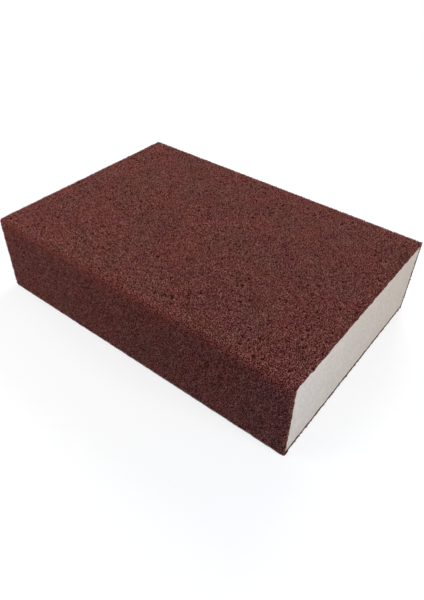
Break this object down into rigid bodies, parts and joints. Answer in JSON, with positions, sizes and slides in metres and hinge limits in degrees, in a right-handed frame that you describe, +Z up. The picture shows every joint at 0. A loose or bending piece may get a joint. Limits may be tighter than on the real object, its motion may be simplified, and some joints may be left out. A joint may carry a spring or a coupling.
{
  "type": "sanding block",
  "caption": "Soft foam sanding block with reddish-brown abrasive grit on its faces and long sides, rounded long edges and bare foam ends.",
  "frame": {"origin": "middle of the face that the block lies on", "axes": "+X along the length, from one bare end to the other; +Y across the width; +Z up out of the face that it lies on"},
  "size_m": [0.1, 0.0688, 0.0246],
  "materials": {
    "foam": "matte",
    "bond_resin": "satin",
    "grit": "matte"
  },
  "bodies": {
    "root": {"foam_core": "foam", "top_bond_coat": "bond_resin", "bottom_bond_coat": "bond_resin", "front_bond_coat": "bond_resin", "rear_bond_coat": "bond_resin", "top_grit": "grit", "bottom_grit": "grit", "front_grit": "grit", "rear_grit": "grit"}
  },
  "joints": []
}
